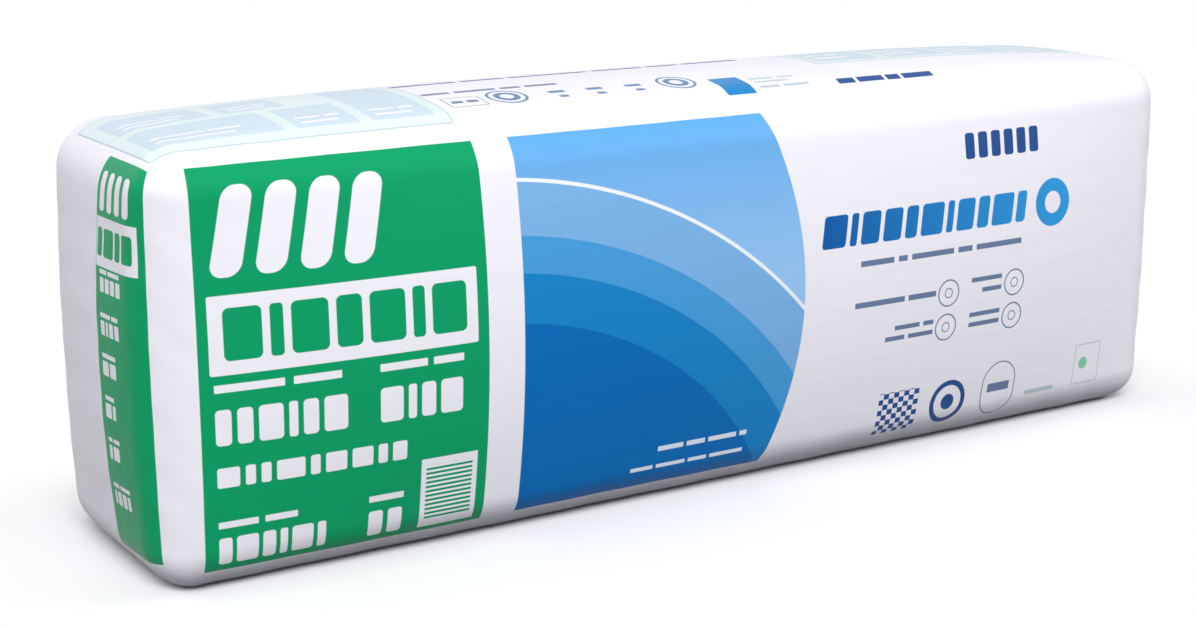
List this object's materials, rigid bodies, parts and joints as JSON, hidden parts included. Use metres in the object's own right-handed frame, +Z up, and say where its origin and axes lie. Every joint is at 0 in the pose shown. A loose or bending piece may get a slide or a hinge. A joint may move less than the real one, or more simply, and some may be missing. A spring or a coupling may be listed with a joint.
{
  "type": "bag of insulation batts",
  "caption": "Sealed plastic film bag of compressed, folded glass-wool insulation batts, with crowned walls and rounded edges, resting on its long narrow side.",
  "frame": {"origin": "on the floor, under the middle of the bag: the centre of the bounding box's lowest face", "axes": "+X along the bag from the plain end to the welded end, +Y from the front wall to the back wall, +Z up"},
  "size_m": [1.2228, 0.288, 0.4099],
  "materials": {
    "film": "glossy white polyethylene film, printed in green and blue",
    "glass_wool": "matt compressed glass wool, pale tan"
  },
  "bodies": {
    "root": {"bag_film": "film", "batts": "glass_wool"}
  },
  "joints": []
}
